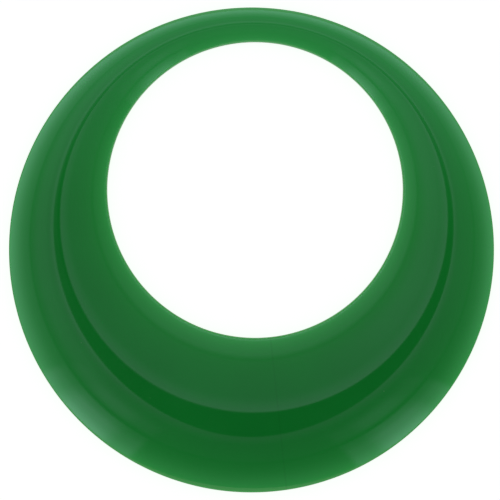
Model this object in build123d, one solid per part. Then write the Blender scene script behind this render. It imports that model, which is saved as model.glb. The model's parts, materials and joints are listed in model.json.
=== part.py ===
from build123d import *

import os
from math import cos, hypot, pi, radians, sin, tan

# An eccentric ring for tracing two circles: its round outside, and a large hole set off centre.
# All sizes are millimetres. The origin is on the drawing surface, under the centre of the outer circle.
# +Z is up, and +Y points at the narrow side of the ring, so the wide side is at -Y.

# Plan: the outer, hole and ridge outlines are circles centred on the Y axis.
outer_radius = 52.5
hole_radius = 32.0
hole_offset = 13.0
ridge_radius = 41.9
ridge_offset = 6.9

# Heights above the drawing surface.
pad_stand = 0.5
rim_height = 2.4
ridge_height_wide = 8.2
ridge_height_narrow = 4.4

# Crescent-shaped land between the ridge and the start of the outer slope.
land_width_wide = 5.3
land_width_narrow = 0.35
land_taper = 1.8
land_nose = 0.12

# Each slope is an arc that leans over from its steepness at the rim to its steepness at the crest.
outer_slope_rim = radians(48)
outer_slope_crest = radians(4.7)
inner_slope_rim = radians(32)
inner_slope_crest = radians(8)
rim_overrun = 0.5

# Mouldings.
plate_thickness = 1.2
plate_inset = 1.2
plate_ledge = 0.8
roof_thickness = 1.2
edge_fillet = 0.4
plate_top = pad_stand + plate_thickness

# Pegs under the cover, and the bosses of the base plate that they plug into.
peg_angles = (-5, -65, -115, -175)
peg_radius = 1.5
peg_clearance = 0.05
peg_bottom = 1.4
boss_wall = 1.1
boss_top = 3.2
socket_floor = 1.2

# Stiffening ribs under the wide side of the cover.
rib_angles = (-30, -50, -80, -100, -130, -150)
rib_thickness = 1.0
rib_bottom = 2.3

# Soft pads let into the underside.
pad_angles = (90, 30, -30, -90, -150, 150)
pad_radius_max = 4.0
pad_share_of_width = 0.22
pad_recess = 0.5
pad_clearance = 0.1
pad_edge_fillet = 0.2

# Fineness of the lofted slopes.
points_around = 48
levels_up = 6


def on_circle(radius, offset, angle, z=0):
    """Point at an angle on a circle whose centre is at y = offset."""
    return Vector(radius * cos(angle), offset + radius * sin(angle), z)


def ridge_plane_height(y):
    """Height of the plane of the ridge and the land, which falls towards the narrow side."""
    fall = (ridge_height_wide - ridge_height_narrow) / (2 * ridge_radius)
    return ridge_height_wide - fall * (y - ridge_offset + ridge_radius)


def on_ridge_plane(radius, angle, drop):
    """Point on a circle about the ridge's centre, a given drop below the ridge plane."""
    flat = on_circle(radius, ridge_offset, angle)
    return Vector(flat.X, flat.Y, ridge_plane_height(flat.Y) - drop)


def land_width(angle):
    """Width of the land: widest at -Y, and only a hairline at +Y."""
    turned = sin((angle + pi / 2) / 2)
    swell = (1 + land_nose - hypot(turned, land_nose)) ** land_taper
    return land_width_narrow + (land_width_wide - land_width_narrow) * swell


def closed_curve(point_at):
    """Smooth closed wire through point_at(angle)."""
    angles = [2 * pi * i / points_around for i in range(points_around)]
    return Wire([Edge.make_spline([point_at(angle) for angle in angles], periodic=True)])


def slope_level(rim_at, crest_at, inward, upward):
    """Closed wire a share of the way inward and upward from the rim to the crest."""

    def point_at(angle):
        rim = rim_at(angle)
        rise = crest_at(angle) - rim
        return rim + Vector(rise.X * inward, rise.Y * inward, rise.Z * upward)

    return closed_curve(point_at)


def slope_solid(rim_at, crest_at, at_rim, at_crest):
    """Solid under a slope whose radial sections are arcs, steeper at the rim than at the crest."""
    levels = []
    for level in range(levels_up + 1):
        lean = at_rim + (at_crest - at_rim) * level / levels_up
        inward = (sin(at_rim) - sin(lean)) / (sin(at_rim) - sin(at_crest))
        upward = (cos(lean) - cos(at_rim)) / (cos(at_crest) - cos(at_rim))
        levels.append(slope_level(rim_at, crest_at, inward, upward))
    return Solid.make_loft(levels)


def outer_dome(radius, rim_z, drop):
    """Solid under the outer slope, from a rim circle up to the outer edge of the land."""
    return slope_solid(
        lambda angle: on_circle(radius, 0, angle, rim_z),
        lambda angle: on_ridge_plane(ridge_radius + land_width(angle), angle, drop),
        outer_slope_rim,
        outer_slope_crest,
    )


def hole_funnel(radius, rim_z, drop):
    """Solid over the inner slope, from a rim circle round the hole up to the ridge."""
    return slope_solid(
        lambda angle: on_circle(radius, hole_offset, angle, rim_z),
        lambda angle: on_ridge_plane(ridge_radius, angle, drop),
        inner_slope_rim,
        inner_slope_crest,
    )


def cylinder(radius, bottom, top, x=0, y=0):
    return Pos(x, y, bottom) * extrude(Circle(radius), amount=top - bottom)


def flat_ring(inset, bottom, top):
    """Flat-ended ring between the outer circle and the hole, with both walls moved in by inset."""
    disc = cylinder(outer_radius - inset, bottom, top)
    return disc - cylinder(hole_radius + inset, bottom, top, y=hole_offset)


def post(angle, radius, bottom, top):
    """Upright post with its centre on the ridge circle."""
    centre = on_circle(ridge_radius, ridge_offset, radians(angle))
    return cylinder(radius, bottom, top, centre.X, centre.Y)


def peg(angle):
    """Locating peg that ends halfway through the cover's roof."""
    centre = on_circle(ridge_radius, ridge_offset, radians(angle))
    return post(angle, peg_radius, peg_bottom, ridge_plane_height(centre.Y) - roof_thickness / 2)


def rib(angle):
    """Tall radial plate, from above the base plate to beyond the roof and both walls."""
    height = 2 * ridge_height_wide
    reach = outer_radius + ridge_offset
    plate = Pos(reach / 2, 0, rib_bottom + height / 2) * Box(reach, rib_thickness, height)
    return Pos(0, ridge_offset, 0) * Rot(0, 0, angle) * plate


def domed_ring():
    """The cover's outside as one solid: upright walls at the rims, slopes, land and ridge."""
    outer_low = rim_height - rim_overrun * tan(outer_slope_rim)
    hole_low = rim_height - rim_overrun * tan(inner_slope_rim)
    dome = outer_dome(outer_radius + rim_overrun, outer_low, 0)
    dome &= cylinder(outer_radius, 0, 2 * ridge_height_wide)
    skirt = cylinder(outer_radius, pad_stand, (outer_low + rim_height) / 2)
    skirt = fillet(skirt.edges().sort_by(Axis.Z)[0], edge_fillet)
    ring = skirt + dome
    ring -= hole_funnel(hole_radius - rim_overrun, hole_low, 0)
    return ring - cylinder(hole_radius, 0, 2 * ridge_height_wide, y=hole_offset)


def hollow():
    """Space inside the cover: straight up from the base plate, under the roof, less the ribs."""
    inset = plate_inset + plate_ledge
    space = outer_dome(outer_radius - inset, plate_top, roof_thickness)
    space -= hole_funnel(hole_radius + inset, plate_top, roof_thickness)
    for angle in rib_angles:
        space -= rib(angle)
    return space


def top_cover():
    """Domed glossy cover, open underneath, with a recess for the base plate, ribs and pegs."""
    cover = domed_ring() - hollow()
    cover -= flat_ring(plate_inset, pad_stand, plate_top)
    for angle in peg_angles:
        cover += peg(angle)
    return cover


def base_plate():
    """Flat ring that closes the underside, with its bosses and pad recesses."""
    plate = flat_ring(plate_inset, pad_stand, plate_top)
    for angle in peg_angles:
        plate += post(angle, peg_radius + boss_wall, plate_top, boss_top)
        plate -= post(angle, peg_radius + peg_clearance, socket_floor, boss_top)
    for angle in pad_angles:
        plate -= post(angle, pad_radius(angle) + pad_clearance, pad_stand, pad_stand + pad_recess)
    return plate


def pad_radius(angle):
    """Pads grow with the ring's width up to the largest pad."""
    turn = radians(angle)
    width = (on_circle(outer_radius, 0, turn) - on_circle(hole_radius, hole_offset, turn)).length
    return min(pad_radius_max, pad_share_of_width * width)


def pad(angle):
    """Round soft pad that fills a recess and stands out below the base plate."""
    body = post(angle, pad_radius(angle), 0, pad_stand + pad_recess)
    return fillet(body.edges().filter_by(GeomType.CIRCLE).sort_by(Axis.Z)[0], pad_edge_fillet)


os.makedirs("parts", exist_ok=True)
export_step(top_cover(), "parts/top_cover.step")
export_step(base_plate(), "parts/base_plate.step")
for number, angle in enumerate(pad_angles, start=1):
    export_step(pad(angle), f"parts/pad_{number}.step")
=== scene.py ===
import json
from math import cos, pi, radians, sin, tan

import bmesh
import bpy
import numpy as np
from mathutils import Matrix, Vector


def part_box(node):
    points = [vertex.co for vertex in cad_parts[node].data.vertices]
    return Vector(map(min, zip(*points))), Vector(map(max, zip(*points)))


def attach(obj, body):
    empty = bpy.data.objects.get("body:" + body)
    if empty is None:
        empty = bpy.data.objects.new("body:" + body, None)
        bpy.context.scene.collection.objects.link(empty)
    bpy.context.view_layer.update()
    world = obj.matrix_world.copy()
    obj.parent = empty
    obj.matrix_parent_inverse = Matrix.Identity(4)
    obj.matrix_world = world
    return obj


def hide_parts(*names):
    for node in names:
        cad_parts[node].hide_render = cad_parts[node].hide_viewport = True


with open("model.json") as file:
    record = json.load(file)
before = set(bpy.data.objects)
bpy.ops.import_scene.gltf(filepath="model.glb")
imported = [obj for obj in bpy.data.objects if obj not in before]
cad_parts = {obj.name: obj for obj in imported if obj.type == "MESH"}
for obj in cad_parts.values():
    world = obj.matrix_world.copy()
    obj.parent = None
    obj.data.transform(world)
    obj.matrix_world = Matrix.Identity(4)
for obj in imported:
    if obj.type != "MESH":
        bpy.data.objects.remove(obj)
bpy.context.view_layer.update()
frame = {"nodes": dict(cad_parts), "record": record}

MM = 0.001

# --- Sizes of the ring, as in the CAD part. Metres.
hole_mount = next(m for m in frame["record"]["mounts"] if m["name"] == "tracing_hole")
outer_radius = 52.5 * MM
hole_radius = hole_mount["dims"]["r_mm"] * MM
hole_offset = hole_mount["pos_m"][1]
ridge_radius = 41.9 * MM
ridge_offset = 6.9 * MM
pad_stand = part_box("base_plate")[0][2]
rim_height = 2.4 * MM
ridge_height_wide = 8.2 * MM
ridge_height_narrow = 4.4 * MM
ridge_fall = (ridge_height_wide - ridge_height_narrow) / (2 * ridge_radius)
land_width_wide = 5.3 * MM
land_width_narrow = 0.35 * MM
land_taper = 1.8
land_nose = 0.12
outer_slope_rim = radians(48)
outer_slope_crest = radians(4.7)
inner_slope_rim = radians(32)
inner_slope_crest = radians(8)
roof_thickness = 1.2 * MM
plate_thickness = 1.2 * MM
plate_inset = 1.2 * MM
plate_ledge = 0.8 * MM
plate_top = pad_stand + plate_thickness
peg_angles = (-5, -65, -115, -175)
peg_radius = 1.5 * MM
peg_clearance = 0.05 * MM
peg_bottom = 1.4 * MM
boss_wall = 1.1 * MM
boss_top = 3.2 * MM
socket_floor = 1.2 * MM
rib_angles = (-30, -50, -80, -100, -130, -150)
rib_thickness = 1.0 * MM
rib_bottom = 2.3 * MM
pad_clearance = 0.1 * MM
pad_edge_round = 0.2 * MM

# --- Small shapes that only the fine meshes have.
pad_dish = 0.06 * MM
pad_dish_share = 0.55
pad_foot_share = 0.65
rib_into_roof = roof_thickness / 3
lower_edge_round = 0.4 * MM
rim_round = 0.25 * MM
hole_rim_round = 0.7 * MM
seam_round = 0.12 * MM
seam_gap = 0.02 * MM
crease_reach = 0.45 * MM
crease_share_of_land = 0.45
sharp_edge = radians(35)

# --- Fineness of the meshes.
columns_around = 400
turned_columns = 72
angles_around = np.arange(columns_around) * 2 * pi / columns_around
outer_slope_steps = 44
inner_slope_steps = 52
round_steps = 6
land_steps = 4
hollow_steps = 14


# ---------------------------------------------------------------- geometry

def on_circle(radius, offset, turns, height):
    """Points, one for each angle, on a circle whose centre is at y = offset."""
    heights = np.broadcast_to(height, turns.shape)
    return np.stack([radius * np.cos(turns), offset + radius * np.sin(turns), heights], axis=1)


def ridge_plane_height(y):
    """Height of the plane of the ridge and the land, which falls towards the narrow side."""
    return ridge_height_wide - ridge_fall * (y - ridge_offset + ridge_radius)


def on_ridge_plane(radius, turns, drop):
    """Points on a circle about the ridge's centre, a given drop below the ridge plane."""
    points = on_circle(radius, ridge_offset, turns, 0.0)
    points[:, 2] = ridge_plane_height(points[:, 1]) - drop
    return points


def land_width(turns):
    """Width of the land: widest at -Y, and only a hairline at +Y."""
    turned = np.sin((turns + pi / 2) / 2)
    swell = (1 + land_nose - np.hypot(turned, land_nose)) ** land_taper
    return land_width_narrow + (land_width_wide - land_width_narrow) * swell


def slope_rows(rim, crest, at_rim, at_crest, steps, start_after=0.0, stop_short=0.0):
    """Rows up a slope whose radial sections are arcs, between two plan distances from its ends."""
    run = np.linalg.norm((crest - rim)[:, :2], axis=1)
    sine_span = sin(at_rim) - sin(at_crest)
    first = np.arcsin(sin(at_rim) - sine_span * start_after / run)
    last = np.arcsin(sin(at_crest) + sine_span * stop_short / run)
    rows = []
    for step in range(steps + 1):
        lean = first + (last - first) * step / steps
        inward = (sin(at_rim) - np.sin(lean)) / sine_span
        upward = (np.cos(lean) - cos(at_rim)) / (cos(at_crest) - cos(at_rim))
        row = rim + (crest - rim) * inward[:, None]
        row[:, 2] = rim[:, 2] + (crest - rim)[:, 2] * upward
        rows.append(row)
    return rows


def rounded(start, corner, finish):
    """Rows from start to finish along a curve that rounds off corner, both ends included."""
    rows = []
    for step in range(round_steps + 1):
        t = step / round_steps
        rows.append(start * (1 - t) ** 2 + corner * 2 * t * (1 - t) + finish * t ** 2)
    return rows


def between(start, finish, steps):
    """Rows along a line from start to finish, leaving out both ends."""
    return [start + (finish - start) * step / steps for step in range(1, steps)]


def top_rows(turns):
    """Upper face of the cover, from its outer wall over the slopes and the ridge to the hole's wall."""
    land = land_width(turns)
    crease = np.minimum(crease_reach, crease_share_of_land * land)
    outer_rim = on_circle(outer_radius, 0.0, turns, rim_height)
    hole_rim = on_circle(hole_radius, hole_offset, turns, rim_height)
    ridge = on_ridge_plane(ridge_radius, turns, 0.0)
    shoulder = on_ridge_plane(ridge_radius + land, turns, 0.0)
    land_out = on_ridge_plane(ridge_radius + land - crease, turns, 0.0)
    land_in = on_ridge_plane(ridge_radius + crease, turns, 0.0)
    below = Vector((0, 0, rim_round))
    below_hole = Vector((0, 0, hole_rim_round))

    outside = slope_rows(outer_rim, shoulder, outer_slope_rim, outer_slope_crest,
                         outer_slope_steps, rim_round, crease)
    inside = slope_rows(hole_rim, ridge, inner_slope_rim, inner_slope_crest,
                        inner_slope_steps, hole_rim_round, crease)
    inside.reverse()
    rows = rounded(outer_rim - below, outer_rim, outside[0])
    rows += outside[1:-1]
    rows += rounded(outside[-1], shoulder, land_out)
    rows += between(land_out, land_in, land_steps)
    rows += rounded(land_in, ridge, inside[0])
    rows += inside[1:-1]
    rows += rounded(inside[-1], hole_rim, hole_rim - below_hole)
    return rows


def foot_rows(wall, inset, turns, edge_round):
    """Foot of one wall, outside first: rounded lower edge, flat, and the recess for the base plate.

    wall(depth) gives the radius and the offset of the wall's circle, moved that far into the plastic."""

    def at(depth, height):
        return on_circle(*wall(depth), turns, height)

    rows = rounded(at(0, pad_stand + edge_round), at(0, pad_stand), at(edge_round, pad_stand))
    rows += rounded(at(inset - seam_round, pad_stand), at(inset, pad_stand),
                    at(inset, pad_stand + seam_round))
    rows += [at(inset, plate_top), at(inset + plate_ledge, plate_top)]
    return rows


def hollow_rows(turns):
    """Inside of the cover: the two slopes and the land again, lower by the roof's thickness."""
    inset = plate_inset + plate_ledge
    outer_low = on_circle(outer_radius - inset, 0.0, turns, plate_top)
    hole_low = on_circle(hole_radius + inset, hole_offset, turns, plate_top)
    ridge = on_ridge_plane(ridge_radius, turns, roof_thickness)
    shoulder = on_ridge_plane(ridge_radius + land_width(turns), turns, roof_thickness)
    rows = slope_rows(hole_low, ridge, inner_slope_rim, inner_slope_crest, hollow_steps)
    under = slope_rows(outer_low, shoulder, outer_slope_rim, outer_slope_crest, hollow_steps)
    under.reverse()
    return rows[1:] + under[:-1]


def cover_rows(turns):
    """Closed loop of rows round the section of the hollow cover, outside first."""
    hole_foot = foot_rows(lambda depth: (hole_radius + depth, hole_offset),
                          plate_inset, turns, seam_round)
    outer_foot = foot_rows(lambda depth: (outer_radius - depth, 0.0),
                           plate_inset, turns, lower_edge_round)
    outer_foot.reverse()
    return top_rows(turns) + hole_foot + hollow_rows(turns) + outer_foot


def ring_mesh(name, rows):
    """Closed mesh from a closed loop of rows, each a closed loop of points."""
    count, around = len(rows), len(rows[0])
    mesh = bpy.data.meshes.new(name)
    faces = []
    for r in range(count):
        below, above = r * around, (r + 1) % count * around
        for c in range(around):
            n = (c + 1) % around
            faces.append((below + c, below + n, above + n, above + c))
    mesh.from_pydata(np.concatenate(rows).tolist(), [], faces)
    mesh.validate()
    return mesh


def turned_mesh(name, parts):
    """Closed mesh of solids of revolution. Each part is a centre (x, y) and a profile of
    (radius, height) points that starts and ends on the upright axis."""
    turns = np.arange(turned_columns) * 2 * pi / turned_columns
    points, faces = [], []
    for (x, y), profile in parts:
        first = len(points)
        points.append((x, y, profile[0][1]))
        for radius, height in profile[1:-1]:
            points += [(x + radius * cos(t), y + radius * sin(t), height) for t in turns]
        points.append((x, y, profile[-1][1]))
        last = len(points) - 1
        for c in range(turned_columns):
            n = (c + 1) % turned_columns
            faces.append((first, first + 1 + n, first + 1 + c))
            for ring in range(len(profile) - 3):
                low = first + 1 + ring * turned_columns
                high = low + turned_columns
                faces.append((low + c, low + n, high + n, high + c))
            top = last - turned_columns
            faces.append((top + c, top + n, last))
    mesh = bpy.data.meshes.new(name)
    mesh.from_pydata(points, [], faces)
    mesh.validate()
    return mesh


def post_profile(radius, bottom, top):
    """Profile of an upright post with flat ends."""
    return [(0, bottom), (radius, bottom), (radius, top), (0, top)]


def smooth(mesh):
    """Smooth shading, except over the sharp edges."""
    mesh.shade_smooth()
    mesh.set_sharp_from_angle(angle=sharp_edge)
    return mesh


def add_object(name, mesh):
    piece = bpy.data.objects.new(name, mesh)
    bpy.context.scene.collection.objects.link(piece)
    return piece


def combined(piece, *steps):
    """Applies boolean steps, each an operation and a mesh, to a piece."""
    tools = []
    for operation, mesh in steps:
        tool = add_object("tool", mesh)
        step = piece.modifiers.new(operation, "BOOLEAN")
        step.operation = operation
        step.solver = "EXACT"
        step.object = tool
        tools.append(tool)
    seen = bpy.context.evaluated_depsgraph_get()
    piece.data = bpy.data.meshes.new_from_object(piece.evaluated_get(seen))
    piece.modifiers.clear()
    for tool in tools:
        bpy.data.objects.remove(tool)
    smooth(piece.data)


def peg_places():
    """Centres of the four pegs, on the ridge circle."""
    turns = [radians(angle) for angle in peg_angles]
    return [(ridge_radius * cos(t), ridge_offset + ridge_radius * sin(t)) for t in turns]


def pad_places():
    """Name, centre, radius and top of each pad, from its CAD node."""
    places = []
    for name in sorted(frame["nodes"]):
        if name.startswith("pad_"):
            low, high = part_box(name)
            centre = ((low[0] + high[0]) / 2, (low[1] + high[1]) / 2)
            places.append((name, centre, (high[0] - low[0]) / 2, high[2]))
    return places


def plate_rows(turns):
    """Closed loop of rows round the section of the flat ring that closes the underside."""
    inset = plate_inset + seam_gap

    def outer(depth, height):
        return on_circle(outer_radius - inset - depth, 0.0, turns, height)

    def inner(depth, height):
        return on_circle(hole_radius + inset + depth, hole_offset, turns, height)

    return [
        outer(0, plate_top), inner(0, plate_top),
        inner(0, pad_stand + seam_round), inner(seam_round, pad_stand),
        outer(seam_round, pad_stand), outer(0, pad_stand + seam_round),
    ]


def make_plate():
    """Base plate with its bosses, the sockets in them, and the recesses for the pads."""
    boss = post_profile(peg_radius + boss_wall, plate_top - seam_gap, boss_top)
    socket = post_profile(peg_radius + peg_clearance, socket_floor, 2 * boss_top)
    bosses = [(at, boss) for at in peg_places()]
    holes = [(at, socket) for at in peg_places()]
    for _, centre, radius, top in pad_places():
        holes.append((centre, post_profile(radius + pad_clearance, -pad_stand, top)))
    plate = add_object("closing_plate", ring_mesh("closing_plate", plate_rows(angles_around)))
    combined(plate, ("UNION", turned_mesh("bosses", bosses)),
             ("DIFFERENCE", turned_mesh("holes", holes)))
    return plate


def pad_profile(radius, top):
    """Flat soft disc with a rounded lower edge and a shallow dish in its foot."""
    profile = [(0, pad_dish), (radius * pad_dish_share, pad_dish)]
    profile += [(radius * pad_foot_share, 0), (radius - pad_edge_round, 0)]
    for step in range(1, round_steps + 1):
        turn = step / round_steps * pi / 2
        inward = pad_edge_round * (1 - sin(turn))
        profile.append((radius - inward, pad_edge_round * (1 - cos(turn))))
    return profile + [(radius, top), (0, top)]


def make_pegs():
    """Locating pegs that end halfway through the cover's roof."""
    pegs = []
    for x, y in peg_places():
        top = ridge_plane_height(y) - roof_thickness / 2
        pegs.append(((x, y), post_profile(peg_radius, peg_bottom, top)))
    return add_object("cover_pegs", smooth(turned_mesh("cover_pegs", pegs)))


def make_pad(name, centre, radius, top):
    mesh = turned_mesh(name, [(centre, pad_profile(radius, top))])
    return add_object(name, smooth(mesh))


def make_ribs():
    """Thin radial walls that hang from the cover's roof over the wide side."""
    points, faces = [], []
    for bearing in rib_angles:
        turn = radians(bearing)
        half = rib_thickness / 2 / ridge_radius
        sides = np.array([turn - half, turn + half])
        roof = [row + (0, 0, rib_into_roof) for row in hollow_rows(sides)]
        roof = [row for row in roof if row[0][2] > rib_bottom + rib_into_roof]
        first, count = len(points), len(roof)
        for row in roof:
            points += [tuple(row[0]), tuple(row[1])]
            points += [(row[1][0], row[1][1], rib_bottom), (row[0][0], row[0][1], rib_bottom)]
        for r in range(count - 1):
            a, b = first + 4 * r, first + 4 * (r + 1)
            faces += [(a + k, b + k, b + (k + 1) % 4, a + (k + 1) % 4) for k in range(4)]
        end = first + 4 * (count - 1)
        faces += [(first, first + 1, first + 2, first + 3), (end + 3, end + 2, end + 1, end)]
    mesh = bpy.data.meshes.new("cover_ribs")
    mesh.from_pydata(points, [], faces)
    mesh.validate()
    return add_object("cover_ribs", smooth(mesh))


# ---------------------------------------------------------------- materials

class Nodes:
    """Short way to write a node tree."""

    def __init__(self, tree):
        self.tree = tree
        tree.nodes.clear()

    def add(self, kind, **settings):
        node = self.tree.nodes.new(kind)
        for key, value in settings.items():
            setattr(node, key, value)
        return node

    def link(self, source, target):
        self.tree.links.new(source, target)

    def feed(self, socket, value):
        if isinstance(value, bpy.types.NodeSocket):
            self.link(value, socket)
        else:
            socket.default_value = value

    def math(self, operation, *values):
        node = self.add("ShaderNodeMath", operation=operation)
        for socket, value in zip(node.inputs, values):
            self.feed(socket, value)
        return node.outputs[0]

    def ramp(self, value, low, high, out_low=0.0, out_high=1.0):
        """Smooth step from out_low at low to out_high at high."""
        node = self.add("ShaderNodeMapRange", interpolation_type="SMOOTHSTEP")
        self.feed(node.inputs["Value"], value)
        node.inputs["From Min"].default_value = low
        node.inputs["From Max"].default_value = high
        node.inputs["To Min"].default_value = out_low
        node.inputs["To Max"].default_value = out_high
        return node.outputs["Result"]

    def colours(self, factor, first, second):
        """Mix of two colours, each a list of numbers or another node's output."""
        node = self.add("ShaderNodeMix", data_type="RGBA")
        self.feed(node.inputs["Factor"], factor)
        for name, colour in (("A", first), ("B", second)):
            if not isinstance(colour, bpy.types.NodeSocket):
                colour = (*colour, 1)
            self.feed(node.inputs[name], colour)
        return node.outputs["Result"]

    def parts(self, vector):
        """X, Y and Z outputs of a vector."""
        node = self.add("ShaderNodeSeparateXYZ")
        self.link(vector, node.inputs[0])
        return node.outputs

    def bump(self, height, strength, distance):
        """Normal tipped by a height, which stands out by distance at strength 1."""
        node = self.add("ShaderNodeBump")
        node.inputs["Strength"].default_value = strength
        node.inputs["Distance"].default_value = distance
        self.link(height, node.inputs["Height"])
        return node.outputs["Normal"]

    def length(self, vector, centre):
        node = self.add("ShaderNodeVectorMath", operation="DISTANCE")
        self.link(vector, node.inputs[0])
        node.inputs[1].default_value = centre
        return node.outputs["Value"]

    def noise(self, vector, scale, detail=2.0, roughness=0.5):
        node = self.add("ShaderNodeTexNoise")
        self.link(vector, node.inputs["Vector"])
        node.inputs["Scale"].default_value = scale
        node.inputs["Detail"].default_value = detail
        node.inputs["Roughness"].default_value = roughness
        return node.outputs["Fac"]


# Painted glow: how far light that leaks into the plastic from each rim is painted into its colour, in
# two reaches, and what each one adds.
leak_short = 1.7 * MM
leak_long = 6.0 * MM
leak_share = 0.5

# Painted dark reflection: the land and the ridge of the ring are a little darker. This fades between two
# depths below the ridge plane.
dark_reflection_fade = (0.02 * MM, 0.25 * MM)
dark_reflection_colour = (0.005, 0.0, 0.0)
dark_reflection_strength = 0.05

# Painted glow: the thin narrow side is paler, standing in for light through the thin plastic. This grows
# between two places on Y.
narrow_glow_fade = (5 * MM, 48 * MM)
narrow_glow_colour = (0.15, 0.82, 0.34)
narrow_glow_strength = 0.20

# The faint line where two flows of plastic met in the mould, on a ray from the hole's centre.
# It grows from y = 0 to knit_fade, and is a little sunk by knit_depth.
knit_bearing = radians(-80.6)
knit_half_width = 0.32 * MM
knit_fade = -5 * MM
knit_darkness = 0.3
knit_strength = 0.10
knit_depth = 0.03

# Dust: one speck in each cell whose random value is above speck_pick.
speck_scale = 260.0
speck_edge = (0.02, 0.05)
speck_pick = 0.72
speck_colour = (0.35, 0.60, 0.40)
speck_strength = 0.25
speck_dullness = 0.2

# Uneven colour, smeared gloss, and the ripple and grain of the moulded surface.
noise_middle = (0.3, 0.7)
smear_middle = (0.35, 0.75)
cloud_scale = 60.0
cloud_darkness = 0.93
smear_scale = 220.0
smear_dullness = 1.8
ripple_scale = 90.0
ripple_height = 0.9
grain_scale = 2500.0
grain_height = 0.02
plastic_bump = (0.06, 0.1 * MM)
plastic_ior = 1.5
scatter_weight = 0.15
scatter_radius = (0.2, 1.0, 0.4)
scatter_scale = 1.2 * MM

# Deep colour, the paler colour of the painted glow at the rims, and roughness of the two plastics.
cover_look = ((0.010, 0.356, 0.047), (0.035, 0.73, 0.090), 0.05)
base_look = ((0.010, 0.310, 0.042), (0.030, 0.62, 0.080), 0.16)

# Speckled matt rubber.
rubber_scale = 900.0
rubber_dark = (0.035, 0.04, 0.038)
rubber_pale = (0.08, 0.085, 0.08)
rubber_roughness = (0.65, 0.9)
rubber_bump = (0.4, 0.05 * MM)


def plan_of(n, place):
    """The point's place seen from above."""
    flat = n.add("ShaderNodeVectorMath", operation="MULTIPLY")
    n.link(place, flat.inputs[0])
    flat.inputs[1].default_value = (1, 1, 0)
    return flat.outputs["Vector"]


def painted_leak_glow(n, plan):
    """Share of the painted glow of light leaking into the plastic, from 0 deep in the ring to 1 at its
    rims.
    """
    from_rim = n.math("SUBTRACT", outer_radius, n.length(plan, (0, 0, 0)))
    from_hole = n.math("SUBTRACT", n.length(plan, (0, hole_offset, 0)), hole_radius)
    total = 0.0
    for distance in (from_rim, from_hole):
        for reach in (leak_short, leak_long):
            share = n.math("EXPONENT", n.math("DIVIDE", distance, -reach))
            total = n.math("ADD", total, n.math("MULTIPLY", share, leak_share))
    return n.math("MINIMUM", total, 1.0)


def painted_dark_reflection(n, place):
    """1 on the land and the ridge, fading just below them: where a painted dark reflection darkens the
    colour.
    """
    _, y, z = n.parts(place)
    plane = n.math("MULTIPLY_ADD", y, -ridge_fall, ridge_plane_height(0.0))
    return n.ramp(n.math("SUBTRACT", plane, z), *dark_reflection_fade, 1.0, 0.0)


def painted_narrow_glow(n, place):
    """How much the painted glow pales the thin narrow side, from 0 to 1 at its middle."""
    return n.ramp(n.parts(place)["Y"], *narrow_glow_fade)


def knit_line(n, plan):
    """1 on the knit line and 0 away from it."""
    across = n.add("ShaderNodeVectorMath", operation="DOT_PRODUCT")
    n.link(plan, across.inputs[0])
    across.inputs[1].default_value = (-sin(knit_bearing), cos(knit_bearing), 0)
    offset = hole_offset * cos(knit_bearing)
    away = n.math("ABSOLUTE", n.math("SUBTRACT", across.outputs["Value"], offset))
    line = n.ramp(away, 0.0, knit_half_width, 1.0, 0.0)
    return n.math("MULTIPLY", line, n.ramp(n.parts(plan)["Y"], 0.0, knit_fade))


def specks(n, place):
    """1 in a few scattered pinpoints of dust and 0 elsewhere."""
    cells = n.add("ShaderNodeTexVoronoi", feature="F1")
    n.link(place, cells.inputs["Vector"])
    cells.inputs["Scale"].default_value = speck_scale
    dot = n.ramp(cells.outputs["Distance"], *speck_edge, 1.0, 0.0)
    pick = n.add("ShaderNodeSeparateColor")
    n.link(cells.outputs["Color"], pick.inputs[0])
    return n.math("MULTIPLY", dot, n.math("GREATER_THAN", pick.outputs[0], speck_pick))


def plastic_colour(n, place, plan, line, dust, deep, painted_glow_colour):
    """Cloudy green that pales towards the rims and the narrow side by painted glow, is darker on the
    land and the ridge by a painted dark reflection, and has its faults.
    """
    cloud = n.ramp(n.noise(place, cloud_scale, 3.0), *noise_middle)
    shade = n.colours(cloud, deep, [c * cloud_darkness for c in deep])
    # Painted glow: paler colour towards the rims, standing in for light through the thin plastic.
    colour = n.colours(painted_leak_glow(n, plan), shade, painted_glow_colour)
    layers = (
        # painted dark reflection on the land and the ridge
        (painted_dark_reflection(n, place), dark_reflection_strength, dark_reflection_colour),
        # painted glow on the thin narrow side
        (painted_narrow_glow(n, place), narrow_glow_strength, narrow_glow_colour),
        (line, knit_strength, [c * knit_darkness for c in deep]),
        (dust, speck_strength, speck_colour),
    )
    for cover, strength, tint in layers:
        colour = n.colours(n.math("MULTIPLY", cover, strength), colour, tint)
    return colour


def plastic_height(n, place, line):
    """Soft ripple and fine grain of the surface, with the knit line a little sunk."""
    ripple = n.math("MULTIPLY", n.noise(place, ripple_scale, 1.0), ripple_height)
    grain = n.math("MULTIPLY", n.noise(place, grain_scale, 2.0), grain_height)
    return n.math("SUBTRACT", n.math("ADD", ripple, grain), n.math("MULTIPLY", line, knit_depth))


def new_material(name):
    """New material with a principled shader: the material, its nodes, the shader and the place."""
    material = bpy.data.materials.new(name)
    material.use_nodes = True
    n = Nodes(material.node_tree)
    out = n.add("ShaderNodeOutputMaterial")
    shader = n.add("ShaderNodeBsdfPrincipled")
    n.link(shader.outputs[0], out.inputs["Surface"])
    return material, n, shader, n.add("ShaderNodeTexCoord").outputs["Object"]


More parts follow.
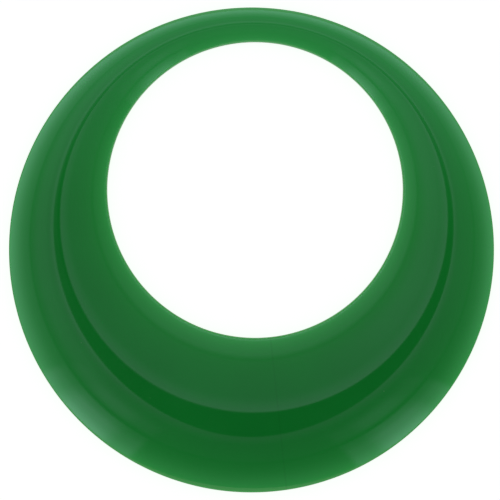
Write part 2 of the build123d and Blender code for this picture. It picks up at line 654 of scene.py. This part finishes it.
def green_plastic(name, deep, painted_glow_colour, roughness):
    material, n, shader, place = new_material(name)
    plan = plan_of(n, place)
    line = knit_line(n, plan)
    dust = specks(n, place)
    n.link(plastic_colour(n, place, plan, line, dust, deep, painted_glow_colour), shader.inputs["Base Color"])

    smear = n.noise(place, smear_scale, 4.0, 0.6)
    smear = n.ramp(smear, *smear_middle, roughness, roughness * smear_dullness)
    dull = n.math("ADD", smear, n.math("MULTIPLY", dust, speck_dullness))
    n.link(dull, shader.inputs["Roughness"])
    n.link(n.bump(plastic_height(n, place, line), *plastic_bump), shader.inputs["Normal"])

    shader.inputs["IOR"].default_value = plastic_ior
    shader.inputs["Subsurface Weight"].default_value = scatter_weight
    shader.inputs["Subsurface Radius"].default_value = scatter_radius
    shader.inputs["Subsurface Scale"].default_value = scatter_scale
    return material


def rubber(name):
    material, n, shader, place = new_material(name)
    speckle = n.noise(place, rubber_scale, 4.0, 0.65)
    n.link(n.colours(speckle, rubber_dark, rubber_pale), shader.inputs["Base Color"])
    n.link(n.ramp(speckle, *noise_middle, *rubber_roughness), shader.inputs["Roughness"])
    n.link(n.bump(speckle, *rubber_bump), shader.inputs["Normal"])
    return material


def dress(piece, material):
    piece.data.materials.clear()
    piece.data.materials.append(material)


# ---------------------------------------------------------------- studio

# The camera looks straight down; frame_fill is the ring's share of the picture's width.
picture_roll = radians(3.4)
frame_fill = 0.9705
camera_distance = 1.0
aim_right, aim_up = -0.32 * MM, -0.015 * MM
sensor_width = 36.0

# The floor glows, less for mirror rays and matt surfaces, and lies just clear of the pads.
floor_half_size = 3.0
floor_grey = (0.5, 0.5, 0.5)
floor_glow = 0.86
floor_glow_in_gloss = 0.60
floor_glow_on_matt = 0.32
floor_drop = 0.02 * MM

# The tent. Matt surfaces see it in one even white glow, and mirror rays see all the rest.
# Angles here are degrees from straight up, and a span is the two angles between which a glow
# changes. Above the tent's edge is the ceiling, below it the wall.
tent_glow_on_matt = 0.31
tent_colour = (1.0, 1.35, 1.5)
tent_edge = 48.3
tent_edge_span = (tent_edge - 1, tent_edge + 1)
ceiling_span, ceiling_glow = (11, 24), (0.50, 0.25)
walls_span, walls_glow = (tent_edge + 1, 86), (0.33, 0.95)

# The dark seam along the tent's edge: how far from the edge, in the direction's height.
seam_span = (0.008, 0.035)
seam_glow = 0.7

# How the glow changes all round. Here a span is two cosines of the angle, seen from above,
# between the direction and the picture's top, or its right for left_span and right_span.
behind_span, ceiling_behind, walls_behind = (-1.0, 0.1), 0.45, 0.33
ahead_span, ceiling_ahead, walls_ahead = (0.0, 1.0), 0.1, 0.4
ceiling_right = -0.05
left_span, walls_left = (-0.95, -0.45), (0.22, -0.04)
right_span, walls_right = (0.27, 1.0), -0.17

# A brighter panel on the left of the ceiling.
panel_bearing, panel_turn, panel_glow = 275, (0.3, 0.9), 0.14
panel_rise, panel_fall = (17, 26), (34, 46)

# The dark opening round the lens, leaning a little from straight up.
lens_tilt_right, lens_tilt_up = radians(2.5), radians(2.5)
lens_gap_span = (10.5, 3.2)

# Lamps: bearing from the picture's top clockwise, and power. The beam has a wide part and
# a narrow peak, and it shows on the ceiling and, more so lower down, on the wall.
lamps = ((139.2, 1.05), (225.0, 1.1))
beam_parts = (((15.5, 13.5), 0.38), ((9.5, 1), 0.62))
lamp_on_ceiling, lamp_ceiling_rise, lamp_ceiling_fall = 0.2, (24, 36), (41, tent_edge)
lamp_on_wall = (((tent_edge + 0.3, 53), 0.32), ((53, 66), 0.36), ((66, 90), 0.45))

# Keeps bearings steady near straight up, where they have no meaning.
least_flat = 0.12


def add_camera():
    """Looks straight down, turned so that the narrow side is just right of the picture's top."""
    data = bpy.data.cameras.new("camera")
    camera = bpy.data.objects.new("camera", data)
    bpy.context.scene.collection.objects.link(camera)
    right = Vector((cos(picture_roll), sin(picture_roll), 0))
    up = Vector((-sin(picture_roll), cos(picture_roll), 0))
    camera.location = right * aim_right + up * aim_up + Vector((0, 0, rim_height + camera_distance))
    camera.rotation_euler = (0, 0, picture_roll)
    data.sensor_width = sensor_width
    data.lens = data.sensor_width * camera_distance * frame_fill / (2 * outer_radius)
    data.clip_start = 0.01
    data.clip_end = 10
    bpy.context.scene.camera = camera


def add_floor():
    """White floor that is clear when seen from underneath."""
    bm = bmesh.new()
    bmesh.ops.create_grid(bm, x_segments=1, y_segments=1, size=floor_half_size)
    mesh = bpy.data.meshes.new("floor")
    bm.to_mesh(mesh)
    bm.free()
    floor = add_object("floor", mesh)
    floor.location.z = -floor_drop
    material = bpy.data.materials.new("floor")
    material.use_nodes = True
    n = Nodes(material.node_tree)
    out = n.add("ShaderNodeOutputMaterial")
    paper = n.add("ShaderNodeBsdfPrincipled")
    paper.inputs["Base Color"].default_value = (*floor_grey, 1)
    paper.inputs["Roughness"].default_value = 0.9
    paper.inputs["Specular IOR Level"].default_value = 0.1
    paper.inputs["Emission Color"].default_value = (1, 1, 1, 1)
    ray = n.add("ShaderNodeLightPath")
    on_matt = n.math("MULTIPLY", ray.outputs["Is Diffuse Ray"], floor_glow - floor_glow_on_matt)
    in_gloss = n.math("MULTIPLY", ray.outputs["Is Glossy Ray"], floor_glow - floor_glow_in_gloss)
    glow = n.math("SUBTRACT", n.math("SUBTRACT", floor_glow, on_matt), in_gloss)
    n.link(glow, paper.inputs["Emission Strength"])
    material.cycles.emission_sampling = "NONE"
    clear = n.add("ShaderNodeBsdfTransparent")
    side = n.add("ShaderNodeNewGeometry").outputs["Backfacing"]
    mix = n.add("ShaderNodeMixShader")
    n.link(side, mix.inputs["Fac"])
    n.link(paper.outputs[0], mix.inputs[1])
    n.link(clear.outputs[0], mix.inputs[2])
    n.link(mix.outputs[0], out.inputs["Surface"])
    dress(floor, material)


def bearing_share(n, x, y, flat, bearing):
    """Cosine of the angle, seen from above, between the direction and a bearing in degrees,
    clockwise from the picture's top."""
    along_x = n.math("MULTIPLY", x, sin(radians(bearing)))
    along_y = n.math("MULTIPLY", y, cos(radians(bearing)))
    return n.math("DIVIDE", n.math("ADD", along_x, along_y), flat)


def angle_ramp(n, cosine, span, at_start=0.0, at_end=1.0):
    """Smooth step over a span of degrees, for the cosine of an angle."""
    return n.ramp(cosine, cos(radians(span[0])), cos(radians(span[1])), at_start, at_end)


def side_share(n, ahead, behind, in_front):
    """Share of the full glow: behind at the picture's foot, 1 at its sides, and more at its top."""
    return n.math("ADD", n.ramp(ahead, *behind_span, behind, 1.0),
                  n.ramp(ahead, *ahead_span, 0.0, in_front))


def cloth_light(n, z, ahead, aside):
    """Glow of the tent's ceiling and wall, with the seam between them."""
    ceiling_side = side_share(n, ahead, ceiling_behind, ceiling_ahead)
    ceiling_side = n.math("ADD", ceiling_side, n.math("MULTIPLY", aside, ceiling_right))
    ceiling = n.math("MULTIPLY", angle_ramp(n, z, ceiling_span, *ceiling_glow), ceiling_side)
    wall_side = side_share(n, ahead, walls_behind, walls_ahead)
    wall_side = n.math("ADD", wall_side, n.ramp(aside, *left_span, *walls_left))
    wall_side = n.math("ADD", wall_side, n.ramp(aside, *right_span, 0.0, walls_right))
    walls = n.math("MULTIPLY", angle_ramp(n, z, walls_span, *walls_glow), wall_side)
    is_wall = angle_ramp(n, z, tent_edge_span)
    cloth = n.math("ADD", n.math("MULTIPLY", n.math("SUBTRACT", 1.0, is_wall), ceiling),
                   n.math("MULTIPLY", is_wall, walls))
    from_edge = n.math("ABSOLUTE", n.math("SUBTRACT", z, cos(radians(tent_edge))))
    return n.math("MULTIPLY", cloth, n.ramp(from_edge, *seam_span, seam_glow, 1.0))


def panel_light(n, z, near):
    """Glow of the panel. near is the cosine of the angle between the bearing and the panel's."""
    height = n.math("MULTIPLY", angle_ramp(n, z, panel_rise),
                    angle_ramp(n, z, panel_fall, 1.0, 0.0))
    return n.math("MULTIPLY", n.ramp(near, *panel_turn, 0.0, panel_glow), height)


def lens_gap(n, direction):
    """0 in the dark opening round the lens and 1 away from it."""
    opening = n.add("ShaderNodeVectorMath", operation="DOT_PRODUCT")
    n.link(direction, opening.inputs[0])
    lean = Vector((tan(lens_tilt_right), tan(lens_tilt_up), 1))
    opening.inputs[1].default_value = lean.normalized()
    return angle_ramp(n, opening.outputs["Value"], lens_gap_span, 1.0, 0.0)


def lamp_light(n, z, near, power):
    """Glow of one lamp. near is the cosine of the angle between the bearing and the lamp's."""
    beam = 0.0
    for span, share in beam_parts:
        beam = n.math("ADD", beam, angle_ramp(n, near, span, 0.0, power * share))
    glow = n.math("MULTIPLY", angle_ramp(n, z, lamp_ceiling_rise, 0.0, lamp_on_ceiling),
                  angle_ramp(n, z, lamp_ceiling_fall, 1.0, 0.0))
    for span, share in lamp_on_wall:
        glow = n.math("ADD", glow, angle_ramp(n, z, span, 0.0, share))
    return n.math("MULTIPLY", beam, glow)


def light_tent():
    """World light: a tent of white cloth with a dark opening for the lens, and two lamps."""
    world = bpy.data.worlds.new("tent")
    world.use_nodes = True
    bpy.context.scene.world = world
    n = Nodes(world.node_tree)
    out = n.add("ShaderNodeOutputWorld")
    background = n.add("ShaderNodeBackground")
    n.link(background.outputs[0], out.inputs["Surface"])

    turn = n.add("ShaderNodeVectorRotate", rotation_type="Z_AXIS")
    n.link(n.add("ShaderNodeTexCoord").outputs["Generated"], turn.inputs["Vector"])
    turn.inputs["Angle"].default_value = -picture_roll
    direction = turn.outputs["Vector"]
    x, y, z = n.parts(direction)
    across = n.math("ADD", n.math("MULTIPLY", x, x), n.math("MULTIPLY", y, y))
    flat = n.math("MAXIMUM", n.math("SQRT", across), least_flat)

    def towards(bearing):
        return bearing_share(n, x, y, flat, bearing)

    light = n.math("ADD", cloth_light(n, z, towards(0), towards(90)),
                   panel_light(n, z, towards(panel_bearing)))
    light = n.math("MULTIPLY", light, lens_gap(n, direction))
    for bearing, power in lamps:
        light = n.math("ADD", light, lamp_light(n, z, towards(bearing), power))

    mirrored = n.add("ShaderNodeLightPath").outputs["Is Glossy Ray"]
    seen = n.add("ShaderNodeMix", data_type="FLOAT")
    n.link(mirrored, seen.inputs["Factor"])
    seen.inputs["A"].default_value = tent_glow_on_matt
    n.link(light, seen.inputs["B"])
    n.link(seen.outputs["Result"], background.inputs["Strength"])
    n.link(n.colours(mirrored, (1, 1, 1), tent_colour), background.inputs["Color"])
    world.cycles.sampling_method = "NONE"


# ---------------------------------------------------------------- making

add_camera()
add_floor()
light_tent()

gloss = green_plastic("cover_plastic", *cover_look)
semi = green_plastic("base_plastic", *base_look)
pad_rubber = rubber("pad_rubber")


def ride(piece, material):
    dress(piece, material)
    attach(piece, "root")


cover = add_object("domed_cover", smooth(ring_mesh("domed_cover", cover_rows(angles_around))))
ride(cover, gloss)
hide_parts("top_cover")
ride(make_pegs(), gloss)
ride(make_ribs(), gloss)

plate = make_plate()
ride(plate, semi)
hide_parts("base_plate")

for name, centre, radius, top in pad_places():
    pad = make_pad("soft_" + name, centre, radius, top)
    ride(pad, pad_rubber)
    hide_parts(name)

scene = bpy.context.scene
scene.view_settings.view_transform = "Standard"
scene.view_settings.look = "None"
